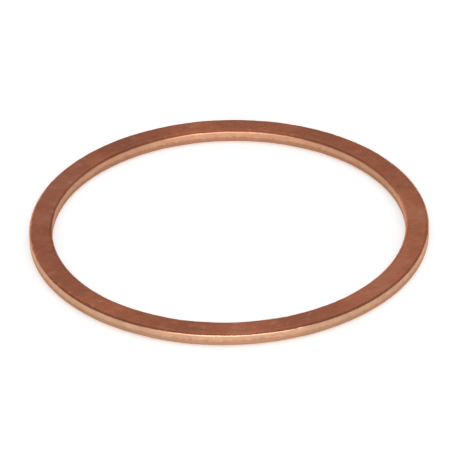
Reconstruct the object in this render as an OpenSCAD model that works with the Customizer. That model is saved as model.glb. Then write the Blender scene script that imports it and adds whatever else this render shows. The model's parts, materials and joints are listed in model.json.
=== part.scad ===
// Copper crush washer: a flat sealing ring of soft, annealed copper.
//
// The ring is one solid. It is punched from strip and then tumbled, so its
// section is a plain rectangle with all four edges rounded over. It goes on
// the thread of a screw plug or union and is crushed between the shoulder of
// the plug and the face around the port, which makes the seal.
//
// Frame, in millimetres: the ring lies flat on its lower sealing face. The
// origin is the centre of the bore on that face, and +Z runs up the bore.

/* [Ring] */

// Diameter of the bore, a clearance fit over the thread of the plug
bore_d = 60; // [20:0.5:120]

// Radial width of the ring, from the bore to the rim
land_w = 4; // [2.5:0.1:10]

// Thickness of the ring before it is crushed
thickness = 2.5; // [1.5:0.1:5]

/* [Edges] */

// Radius on the two edges of the upper sealing face
upper_edge_r = 0.6; // [0.1:0.05:0.7]

// Radius on the two edges of the lower sealing face
lower_edge_r = 0.6; // [0.1:0.05:0.7]

/* [Hidden] */

// Roundness of the drawn curves
$fn = 180;

// Bore and rim radii
bore_r = bore_d / 2;
rim_r = bore_r + land_w;

// Height of the straight, cylindrical part of the bore and rim walls
wall_h = thickness - upper_edge_r - lower_edge_r;

// Brown-pink of satin copper
copper = [0.62, 0.37, 0.28];

// Rounds of the two edges, bore side and rim side, of one sealing face.
// z is the height of the arcs' centres, and r is their radius.
module edge_pair(z, r) {
    for (x = [bore_r + r, rim_r - r])
        translate([x, z]) circle(r = r);
}

// Flat land of one sealing face, between its two edge rounds.
// z is the lower side of the strip, r the edge radius and h its height.
module land(z, r, h) {
    translate([bore_r + r, z]) square([land_w - 2 * r, h]);
}

// Radial section of the ring, drawn at its true distance from the axis
module ring_section() {
    // full-width web, which gives the straight bore and rim walls
    translate([bore_r, lower_edge_r]) square([land_w, wall_h]);

    // upper sealing face
    land(thickness - upper_edge_r, upper_edge_r, upper_edge_r);
    edge_pair(thickness - upper_edge_r, upper_edge_r);

    // lower sealing face
    land(0, lower_edge_r, lower_edge_r);
    edge_pair(lower_edge_r, lower_edge_r);
}

// The washer: its section turned once round the bore axis
module crush_washer() {
    color(copper)
        rotate_extrude()
            ring_section();
}

crush_washer();
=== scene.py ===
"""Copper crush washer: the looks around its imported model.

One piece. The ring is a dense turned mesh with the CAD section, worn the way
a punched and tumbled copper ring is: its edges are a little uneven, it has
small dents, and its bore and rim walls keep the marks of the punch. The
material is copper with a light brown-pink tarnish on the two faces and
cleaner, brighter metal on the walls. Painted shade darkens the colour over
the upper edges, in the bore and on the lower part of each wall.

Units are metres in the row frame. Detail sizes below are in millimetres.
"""

import json
import math

import bpy
import numpy as np
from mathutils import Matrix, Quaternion, Vector


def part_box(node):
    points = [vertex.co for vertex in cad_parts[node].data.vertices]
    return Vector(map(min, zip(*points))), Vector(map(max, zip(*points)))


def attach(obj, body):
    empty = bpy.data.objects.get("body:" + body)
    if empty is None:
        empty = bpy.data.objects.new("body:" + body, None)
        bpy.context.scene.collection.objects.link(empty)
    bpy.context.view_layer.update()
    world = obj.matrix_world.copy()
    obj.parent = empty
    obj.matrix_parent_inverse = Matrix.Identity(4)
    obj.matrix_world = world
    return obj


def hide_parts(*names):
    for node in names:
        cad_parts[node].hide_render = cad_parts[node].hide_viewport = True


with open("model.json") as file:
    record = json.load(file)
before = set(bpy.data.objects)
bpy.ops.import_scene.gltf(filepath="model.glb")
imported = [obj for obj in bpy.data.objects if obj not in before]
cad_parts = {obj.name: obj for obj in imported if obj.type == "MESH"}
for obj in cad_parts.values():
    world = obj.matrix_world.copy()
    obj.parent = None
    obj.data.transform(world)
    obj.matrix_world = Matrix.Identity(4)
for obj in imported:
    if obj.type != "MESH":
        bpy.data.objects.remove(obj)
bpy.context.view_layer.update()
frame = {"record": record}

# ---------------------------------------------------------------- dimensions

MM = 0.001
lo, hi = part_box("crush_washer")
bore = next(m for m in frame["record"]["mounts"] if m["name"] == "bore")

bore_r = bore["dims"]["r_mm"]  # mm
rim_r = (hi.y - lo.y) / 2 / MM
thick = (hi.z - lo.z) / MM
edge_r = (thick - bore["dims"]["length_mm"]) / 2
mid_r = (rim_r + bore_r) / 2

# The visible skin lies this far inside the rim, so it never leaves the CAD box
rim_inset = 0.015

# ---------------------------------------------------------------- the section

# Points round the section, from the middle of the lower face out to the rim,
# up, in over the upper face and down the bore. Each has its outward normal.
section, normals, tags = [], [], []


def add(r, z, nr, nz, tag):
    section.append((r, z))
    normals.append((nr, nz))
    tags.append(tag)


def straight(r0, z0, r1, z1, nr, nz, count, tag):
    """count points from the first end, leaving the last end to what follows."""
    for i in range(count):
        t = i / count
        add(r0 + (r1 - r0) * t, z0 + (z1 - z0) * t, nr, nz, tag)


def rounded(cr, cz, a0, a1, count, tag):
    for i in range(count):
        a = math.radians(a0 + (a1 - a0) * i / count)
        add(cr + edge_r * math.cos(a), cz + edge_r * math.sin(a), math.cos(a), math.sin(a), tag)


r_in, r_out = bore_r, rim_r - rim_inset
z_top = thick
straight(mid_r, 0, r_out - edge_r, 0, 0, -1, 7, "lower")
rounded(r_out - edge_r, edge_r, -90, 0, 9, "edge")
straight(r_out, edge_r, r_out, z_top - edge_r, 1, 0, 12, "rim")
rounded(r_out - edge_r, z_top - edge_r, 0, 90, 11, "edge")
straight(r_out - edge_r, z_top, r_in + edge_r, z_top, 0, 1, 28, "upper")
rounded(r_in + edge_r, z_top - edge_r, 90, 180, 11, "edge")
straight(r_in, z_top - edge_r, r_in, edge_r, -1, 0, 12, "bore")
rounded(r_in + edge_r, edge_r, 180, 270, 9, "edge")
straight(r_in + edge_r, 0, mid_r, 0, 0, -1, 7, "lower")

section = np.array(section)
normals = np.array(normals)
tags = np.array(tags)
around = 900  # steps round the ring
across = len(section)

theta = np.arange(around) * (2 * math.pi / around)
ct, st = np.cos(theta)[:, None], np.sin(theta)[:, None]
sr, sz = section[:, 0][None, :], section[:, 1][None, :]
px, py = sr * ct, sr * st
pz = sz + 0 * px
nx, ny = normals[:, 0][None, :] * ct, normals[:, 0][None, :] * st
nz = normals[:, 1][None, :] + 0 * px

# ---------------------------------------------------------------- worn surface

rng = np.random.default_rng(7603)


def waves(length, count=48, flat=False, spread=0.35):
    """Smooth seeded noise of unit spread at every vertex, with features about
    length millimetres across. With flat it doesn't change with height."""
    d = rng.normal(size=(count, 3))
    if flat:
        d[:, 2] = 0
    d /= np.linalg.norm(d, axis=1)[:, None]
    k = 2 * math.pi / length * np.exp(rng.normal(0, spread, count))
    ph = rng.uniform(0, 2 * math.pi, count)
    total = np.zeros_like(px)
    for (ax, ay, az), kk, p in zip(d, k, ph):
        total += np.sin(kk * (ax * px + ay * py + az * pz) + p)
    return total * math.sqrt(2 / count)


def smooth(x, a, b):
    t = np.clip((x - a) / (b - a), 0, 1)
    return t * t * (3 - 2 * t)


face = smooth(np.abs(nz), 0.25, 0.92)  # 1 on the flat faces, 0 on the walls
wall = 1 - smooth(np.abs(nz), 0.02, 0.35)
corner = np.clip(1 - np.abs(np.abs(nz) - 0.72) / 0.30, 0, 1)
shoulder = np.clip(1 - np.abs(nz - 0.84) / 0.24, 0, 1)  # upper edges, next to the face
inside = smooth(-normals[:, 0][None, :] + 0 * px, 0.05, 0.60)  # bore wall and its edges
tarnish = np.where(nz > 0, smooth(nz, 0.08, 0.80), smooth(-nz, 0.88, 0.99))

# sink is how far each point lies below the CAD surface, in millimetres
sink = np.zeros_like(px)

# strip that isn't quite flat: long, shallow waves on the faces
sink += face * np.clip(0.030 + 0.010 * waves(24) + 0.007 * waves(11), 0, None)

# tumbling: a soft peened skin, and edges that are rubbed a little unevenly
sink += 0.0042 * (1.5 + np.clip(waves(1.6, 64), -1.5, 1.5))
sink += corner * np.clip(0.022 + 0.016 * waves(7) + 0.010 * waves(2.2), 0, None)

# the punch: faint upright drag marks on the walls, and below a ragged line the
# torn lower part of each wall, which lies a little further in
drag = waves(0.9, 64, flat=True) + 0.6 * waves(0.45, 64, flat=True)
ragged = thick * (0.45 + 0.020 * waves(12, flat=True) + 0.035 * waves(1.0, flat=True))
below = 1 - smooth(pz, ragged - 0.16, ragged + 0.16)
torn = wall * below
sink += wall * 0.0015 * (1.2 + np.clip(drag, -1.2, 1.2))
sink += torn * (0.016 + 0.005 * np.clip(waves(0.8), -1.5, 1.5))

# dents and nicks from handling: most sit on the edges
dents = np.zeros_like(px)
spots = []
for i in range(95):
    a = rng.uniform(0, 2 * math.pi)
    if i < 62:  # on an edge
        p = rng.choice(np.flatnonzero((tags == "edge") & (section[:, 1] > thick / 2)))
        size, deep = rng.uniform(0.22, 0.62), rng.uniform(0.010, 0.034)
    elif i < 84:  # on the upper face
        p = rng.choice(np.flatnonzero(tags == "upper"))
        size, deep = rng.uniform(0.25, 0.7), rng.uniform(0.006, 0.016)
    else:  # on a wall
        p = rng.choice(np.flatnonzero((tags == "rim") | (tags == "bore")))
        size, deep = rng.uniform(0.2, 0.45), rng.uniform(0.008, 0.02)
    long = rng.uniform(1.0, 2.4)
    turn = rng.uniform(0, math.pi)
    spots.append((a, p, size, deep, long, turn))
for a, p, size, deep, long, turn in spots:
    r0, z0 = section[p]
    c = np.array([r0 * math.cos(a), r0 * math.sin(a), z0])
    n = np.array([normals[p, 0] * math.cos(a), normals[p, 0] * math.sin(a), normals[p, 1]])
    t1 = np.array([-math.sin(a), math.cos(a), 0])
    t2 = np.cross(n, t1)
    e1 = math.cos(turn) * t1 + math.sin(turn) * t2
    e2 = -math.sin(turn) * t1 + math.cos(turn) * t2
    qx, qy, qz = px - c[0], py - c[1], pz - c[2]
    u = (qx * e1[0] + qy * e1[1] + qz * e1[2]) / (size * long)
    v = (qx * e2[0] + qy * e2[1] + qz * e2[2]) / size
    w = (qx * n[0] + qy * n[1] + qz * n[2]) / (1.2 * size)
    d2 = u * u + v * v + w * w
    hit = np.clip(1 - d2, 0, 1) ** 2
    sink += deep * hit
    dents = np.maximum(dents, hit)

# darker, browner colour over a third of the way round, centred at the back left
aged = np.cos(theta - math.radians(158))[:, None] + 0.10 * waves(14)
aged = smooth(aged, 0.58, 1.00)

px2 = (px - nx * sink) * MM
py2 = (py - ny * sink) * MM
pz2 = np.clip(pz - nz * sink, 0, thick) * MM

# ---------------------------------------------------------------- the mesh

co = np.stack([px2, py2, pz2], 2).reshape(-1, 3).astype(np.float32)
i = np.arange(around)[:, None]
p = np.arange(across)[None, :]
i1, p1 = (i + 1) % around, (p + 1) % across
quads = np.stack(
    [i * across + p, i1 * across + p, i1 * across + p1, i * across + p1], 2
).reshape(-1, 4)

me = bpy.data.meshes.new("crush_washer_skin")
me.vertices.add(len(co))
me.vertices.foreach_set("co", co.ravel())
me.loops.add(quads.size)
me.loops.foreach_set("vertex_index", quads.astype(np.int32).ravel())
me.polygons.add(len(quads))
me.polygons.foreach_set("loop_start", np.arange(0, quads.size, 4, dtype=np.int32))
me.update(calc_edges=True)
me.validate()
me.shade_smooth()

# masks the material reads, one number a vertex
for name, values in (
    ("face", face),
    ("wall", wall),
    ("inside", inside),
    ("aged", aged),
    ("tarnish", tarnish),
    ("shoulder", shoulder),
    ("torn", below * (1 - smooth(-nz, 0.90, 0.99))),
    ("dent", dents),
):
    at = me.attributes.new(name, "FLOAT", "POINT")
    at.data.foreach_set("value", np.broadcast_to(values, px.shape).astype(np.float32).ravel())

# a map in four straight strips, a quarter turn each, for whoever bakes it
step = np.linalg.norm(np.diff(np.vstack([section, section[:1]]), axis=0), axis=1)
along = np.concatenate([[0], np.cumsum(step)]) / step.sum()
quarter = around // 4
strip, place = np.divmod(np.arange(around), quarter)
gap = 0.004
u0 = gap + (1 - 2 * gap) * place / quarter
u1 = gap + (1 - 2 * gap) * (place + 1) / quarter
v0 = (strip[:, None] + gap + (1 - 2 * gap) * along[None, :-1]) / 4
v1 = (strip[:, None] + gap + (1 - 2 * gap) * along[None, 1:]) / 4
uv = np.empty((around, across, 4, 2), np.float32)
uv[:, :, 0, 0] = uv[:, :, 3, 0] = u0[:, None]
uv[:, :, 1, 0] = uv[:, :, 2, 0] = u1[:, None]
uv[:, :, 0, 1] = uv[:, :, 1, 1] = v0
uv[:, :, 2, 1] = uv[:, :, 3, 1] = v1
layer = me.uv_layers.new(name="OFBake")
layer.data.foreach_set("uv", uv.ravel())

ring = bpy.data.objects.new("crush_washer_ring", me)
bpy.context.scene.collection.objects.link(ring)

# ---------------------------------------------------------------- copper


class Tree:
    """Short names for building one node tree."""

    def __init__(self, tree):
        self.t = tree

    def node(self, kind, **settings):
        n = self.t.nodes.new("ShaderNode" + kind)
        for k, v in settings.items():
            setattr(n, k, v)
        return n

    def put(self, socket, value):
        if isinstance(value, bpy.types.NodeSocket):
            self.t.links.new(value, socket)
        else:
            socket.default_value = value

    def math(self, op, a, b=None, c=None, clamp=False):
        n = self.node("Math", operation=op, use_clamp=clamp)
        for s, v in zip(n.inputs, (a, b, c)):
            if v is not None:
                self.put(s, v)
        return n.outputs[0]

    def ramp(self, fac, stops, ease="LINEAR"):
        n = self.node("ValToRGB")
        n.color_ramp.interpolation = ease
        e = n.color_ramp.elements
        while len(e) < len(stops):
            e.new(1.0)
        for x, (at, c) in zip(e, stops):
            x.position = at
            x.color = (*c, 1) if isinstance(c, tuple) else (c, c, c, 1)
        self.put(n.inputs[0], fac)
        return n.outputs[0]

    def scaled(self, vector, scale, turn=0.0):
        """The vector turned back about Z, then scaled along its new axes."""
        n = self.node("Mapping", vector_type="TEXTURE")
        self.put(n.inputs["Vector"], vector)
        n.inputs["Rotation"].default_value = (0, 0, turn)
        n.inputs["Scale"].default_value = tuple(1 / k for k in scale)
        return n.outputs[0]

    def noise(self, vector, scale, detail=2.0, rough=0.5, bend=0.0):
        n = self.node("TexNoise", noise_dimensions="3D")
        self.put(n.inputs["Vector"], vector)
        n.inputs["Scale"].default_value = scale
        n.inputs["Detail"].default_value = detail
        n.inputs["Roughness"].default_value = rough
        n.inputs["Distortion"].default_value = bend
        return n.outputs[0]

    def blend(self, fac, a, b, kind="MIX"):
        n = self.node("Mix", data_type="RGBA", blend_type=kind)
        n.clamp_factor = True
        self.put(n.inputs[0], fac)
        for s, v in ((n.inputs[6], a), (n.inputs[7], b)):
            self.put(s, (*v, 1) if isinstance(v, tuple) else v)
        return n.outputs[2]

    def mask(self, name):
        return self.node("Attribute", attribute_name=name).outputs["Fac"]

    def span(self, x, a, b, c=0.0, d=1.0):
        n = self.node("MapRange", interpolation_type="SMOOTHSTEP")
        self.put(n.inputs["Value"], x)
        for s, v in (("From Min", a), ("From Max", b), ("To Min", c), ("To Max", d)):
            n.inputs[s].default_value = v
        return n.outputs[0]


def copper():
    m = bpy.data.materials.new("copper_satin")
    m.use_nodes = True
    t = Tree(m.node_tree)
    b = m.node_tree.nodes["Principled BSDF"]
    b.inputs["Metallic"].default_value = 1.0
    b.inputs["Specular Tint"].default_value = (0.95, 0.80, 0.72, 1)

    place = t.node("TexCoord").outputs["Object"]
    mm = t.scaled(place, (1000, 1000, 1000))  # the object's own place, in mm

    # tarnish on the faces: broad clouds, mottling within them and, all lying one
    # way, the faint rolling lines of the strip
    cloud = t.noise(mm, 0.060, 3, 0.55, 0.5)
    mottle = t.noise(mm, 0.50, 4, 0.62, 0.4)
    rolled = t.noise(t.scaled(mm, (0.07, 3.0, 3.0), 0.50), 1.0, 3, 0.6)
    tone = t.math("MULTIPLY", cloud, 0.60)
    tone = t.math("MULTIPLY_ADD", mottle, 0.30, tone)
    tone = t.math("MULTIPLY_ADD", rolled, 0.10, tone)
    tarnished = t.ramp(
        tone,
        (
            (0.41, (0.600, 0.206, 0.120)),
            (0.47, (0.688, 0.234, 0.133)),
            (0.53, (0.765, 0.262, 0.148)),
            (0.59, (0.820, 0.316, 0.194)),
        ),
    )

    # the faces are darker and browner over the back left
    tarnished = t.blend(t.mask("aged"), tarnished, (0.84, 0.87, 0.93), "MULTIPLY")

    # cleaner metal on the walls, drawn up and down by the punch
    streak = t.noise(t.scaled(mm, (2.2, 2.2, 0.12)), 1.0, 3, 0.6)
    clean = t.ramp(
        t.math("MULTIPLY_ADD", streak, 0.20, t.math("MULTIPLY", mottle, 0.80)),
        (
            (0.36, (0.556, 0.316, 0.199)),
            (0.50, (0.600, 0.349, 0.222)),
            (0.64, (0.646, 0.384, 0.249)),
        ),
    )
    # painted shade: the lower, torn part of each wall is darker in colour, partly its duller
    # fracture zone and partly painted shade for the floor's contact shadow mirrored there
    clean = t.blend(
        t.math("MULTIPLY", t.mask("torn"), 0.80), clean, (0.435, 0.245, 0.150)
    )

    # painted shade: the bore is a little deeper in colour than the rim, which dims the glint on
    # it
    deep = t.math("MULTIPLY", t.mask("inside"), 0.90)
    clean = t.blend(deep, clean, (0.95, 0.88, 0.85), "MULTIPLY")

    # the tarnish ends over the rounded edges, along an uneven line
    cover = t.math("MULTIPLY_ADD", t.math("SUBTRACT", mottle, 0.5), 0.40, t.mask("tarnish"))
    cover = t.span(cover, 0.10, 0.75)
    colour = t.blend(cover, clean, tarnished)

    # painted shade: deeper orange brown over the upper edges, for the dark line there; the edges
    # are also rubbed bright in places
    edge_shade = t.math("MULTIPLY", t.mask("shoulder"), 0.80)
    colour = t.blend(edge_shade, colour, (1.0, 0.90, 0.76), "MULTIPLY")
    rub = t.math("MULTIPLY", t.mask("shoulder"), t.span(t.noise(mm, 1.0, 3, 0.6), 0.60, 0.72))
    rub = t.math("MAXIMUM", rub, t.math("MULTIPLY", t.mask("dent"), 0.6))
    colour = t.blend(t.math("MULTIPLY", rub, 0.55), colour, (0.88, 0.49, 0.32))

    # hairline scratches over the faces, lying every way
    scratch = None
    for turn, wide, cut in (
        (0.45, 9.0, 0.640),
        (1.20, 11.0, 0.645),
        (1.95, 8.5, 0.640),
        (2.75, 10.0, 0.645),
    ):
        s = t.noise(t.scaled(mm, (0.28, wide, 0.28), turn), 1.0, 1.0, 0.4, 0.1)
        s = t.span(s, cut, cut + 0.10)
        scratch = s if scratch is None else t.math("MAXIMUM", scratch, s)
    scratch = t.math("MULTIPLY", scratch, t.mask("face"))
    colour = t.blend(t.math("MULTIPLY", scratch, 0.16), colour, (0.90, 0.47, 0.31))

    # a few dark oxide freckles
    speck = t.node("TexVoronoi", feature="F1", distance="EUCLIDEAN")
    t.put(speck.inputs["Vector"], mm)
    speck.inputs["Scale"].default_value = 0.62
    dot = t.span(speck.outputs["Distance"], 0.05, 0.14, 1.0, 0.0)
    pick = t.node("SeparateColor")
    t.put(pick.inputs[0], speck.outputs["Color"])
    dot = t.math("MULTIPLY", dot, t.math("GREATER_THAN", pick.outputs[0], 0.62))
    dot = t.math("MULTIPLY", dot, t.mask("face"))
    colour = t.blend(t.math("MULTIPLY", dot, 0.38), colour, (0.36, 0.130, 0.078))

    t.put(b.inputs["Base Color"], colour)

    # finish: satin faces, burnished edges, and duller walls where they are torn
    rough = t.math("MULTIPLY_ADD", mottle, -0.16, 0.32)
    rough = t.math("MULTIPLY_ADD", cover, -0.06, rough)
    rough = t.math("MULTIPLY_ADD", t.mask("wall"), 0.14, rough)
    rough = t.math("MULTIPLY_ADD", rolled, 0.14, rough)
    rough = t.math("MULTIPLY_ADD", t.mask("inside"), 0.10, rough)
    rough = t.math("MULTIPLY_ADD", t.mask("torn"), 0.10, rough)
    rough = t.math("MULTIPLY_ADD", scratch, 0.06, rough)
    rough = t.math("MULTIPLY_ADD", dot, 0.15, rough)
    t.put(b.inputs["Roughness"], t.math("MINIMUM", t.math("MAXIMUM", rough, 0.14), 0.65))

    # relief too fine for the mesh, in hundredths of a millimetre
    relief = t.math("MULTIPLY", t.noise(mm, 5.0, 2, 0.6), 0.08)
    relief = t.math("MULTIPLY_ADD", t.math("MULTIPLY", rolled, t.mask("face")), 0.30, relief)
    relief = t.math("MULTIPLY_ADD", t.noise(mm, 0.11, 1, 0.4), 5.0, relief)
    relief = t.math("MULTIPLY_ADD", t.math("MULTIPLY", streak, t.mask("wall")), 0.30, relief)
    relief = t.math("MULTIPLY_ADD", scratch, -0.25, relief)
    bump = t.node("Bump")
    bump.inputs["Strength"].default_value = 0.6
    bump.inputs["Distance"].default_value = 0.000035
    t.put(bump.inputs["Height"], relief)
    t.put(b.inputs["Normal"], bump.outputs[0])
    return m


me.materials.append(copper())
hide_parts("crush_washer")
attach(ring, "root")

# ---------------------------------------------------------------- floor and light

fm = bpy.data.meshes.new("floor")
n = 96
fm.from_pydata(
    [(8 * math.cos(2 * math.pi * k / n), 8 * math.sin(2 * math.pi * k / n), 0) for k in range(n)],
    [],
    [list(range(n))],
)
floor = bpy.data.objects.new("floor", fm)
bpy.context.scene.collection.objects.link(floor)
fmat = bpy.data.materials.new("floor_white")
fmat.use_nodes = True
fb = fmat.node_tree.nodes["Principled BSDF"]
fb.inputs["Base Color"].default_value = (0.80, 0.80, 0.80, 1)
fb.inputs["Emission Color"].default_value = (1.0, 1.0, 1.0, 1)
fb.inputs["Emission Strength"].default_value = 0.43
fb.inputs["Roughness"].default_value = 1.0
fb.inputs["Specular IOR Level"].default_value = 0.0
fm.materials.append(fmat)

# surroundings: grey room, lighter overhead and white below the horizon, with a
# broad dim panel behind that the faces mirror, a bright low one in front that the
# walls and edges catch, a weaker low one behind on the left, and a dim one in
# front on the right
world = bpy.data.worlds.new("studio")
bpy.context.scene.world = world
world.use_nodes = True
world.node_tree.nodes.clear()
w = Tree(world.node_tree)
where = w.node("SeparateXYZ")
w.put(where.inputs[0], w.node("TexCoord").outputs["Generated"])
up = w.math("MULTIPLY_ADD", where.outputs["Z"], 0.5, 0.5)
room = w.ramp(
    up,
    (
        (0.000, 1.00),
        (0.498, 1.00),
        (0.505, 0.22),
        (0.700, 0.24),
        (0.900, 0.26),
        (0.965, 0.50),
        (1.000, 0.55),
    ),
)
behind = w.ramp(up, ((0.640, 0.00), (0.720, 0.10), (0.820, 0.27), (0.890, 0.28), (0.960, 0.00)))
behind = w.math("MULTIPLY", behind, w.span(where.outputs["Y"], 0.15, 0.65))
low = w.ramp(up, ((0.502, 0.00), (0.510, 1.00), (0.600, 0.90), (0.700, 0.00)))
ahead = w.math("MULTIPLY", low, w.span(where.outputs["Y"], -0.72, -0.95, 0.0, 6.8))
aside = w.math("SUBTRACT", where.outputs["Y"], where.outputs["X"])
aside = w.math("MULTIPLY", low, w.span(aside, 1.15, 1.36, 0.0, 0.7))
facing = w.ramp(up, ((0.530, 0.00), (0.590, 0.20), (0.690, 0.20), (0.760, 0.00)))
right = w.math("SUBTRACT", where.outputs["X"], where.outputs["Y"])
facing = w.math("MULTIPLY", facing, w.span(right, 1.05, 1.30))
shade = w.math("ADD", w.math("ADD", room, behind), w.math("ADD", ahead, aside))
shade = w.math("ADD", shade, facing)
back = w.node("Background")
w.put(back.inputs["Color"], shade)
back.inputs["Strength"].default_value = 1.0
w.put(w.node("OutputWorld").inputs["Surface"], back.outputs[0])

# two broad, soft lamps high on the left and right light the floor
for name, aim, power in (
    ("key", (-0.42, -0.16, -1.0), 0.78),
    ("fill", (0.40, 0.08, -1.0), 0.45),
):
    lamp = bpy.data.lights.new(name, "SUN")
    lamp.energy = power
    lamp.angle = math.radians(70)
    o = bpy.data.objects.new(name, lamp)
    bpy.context.scene.collection.objects.link(o)
    o.rotation_mode = "QUATERNION"
    o.rotation_quaternion = Vector(aim).normalized().to_track_quat("-Z", "Y")
    o.location = Vector(aim) * -1.0
    o.visible_glossy = False

# ---------------------------------------------------------------- camera

elevation = math.radians(32.65)
distance = 13 * 2 * rim_r * MM
width_px = 400  # of the 458 across the picture
away = Vector((0, -math.cos(elevation), math.sin(elevation)))
cam = bpy.data.cameras.new("camera")
cam.sensor_width = 36.0
cam.lens = width_px / 458 * 36.0 * distance / (2 * rim_r * MM)
cam.clip_start, cam.clip_end = 0.01, 100.0
camera = bpy.data.objects.new("camera", cam)
bpy.context.scene.collection.objects.link(camera)
camera.rotation_mode = "QUATERNION"
camera.rotation_quaternion = (-away).to_track_quat("-Z", "Y") @ Quaternion(
    (0, 0, 1), math.radians(-1.37)
)
camera.location = Vector((0, 0, thick / 2 * MM)) + away * distance
bpy.context.scene.camera = camera

view = bpy.context.scene.view_settings
view.view_transform = "Standard"
view.look = "None"
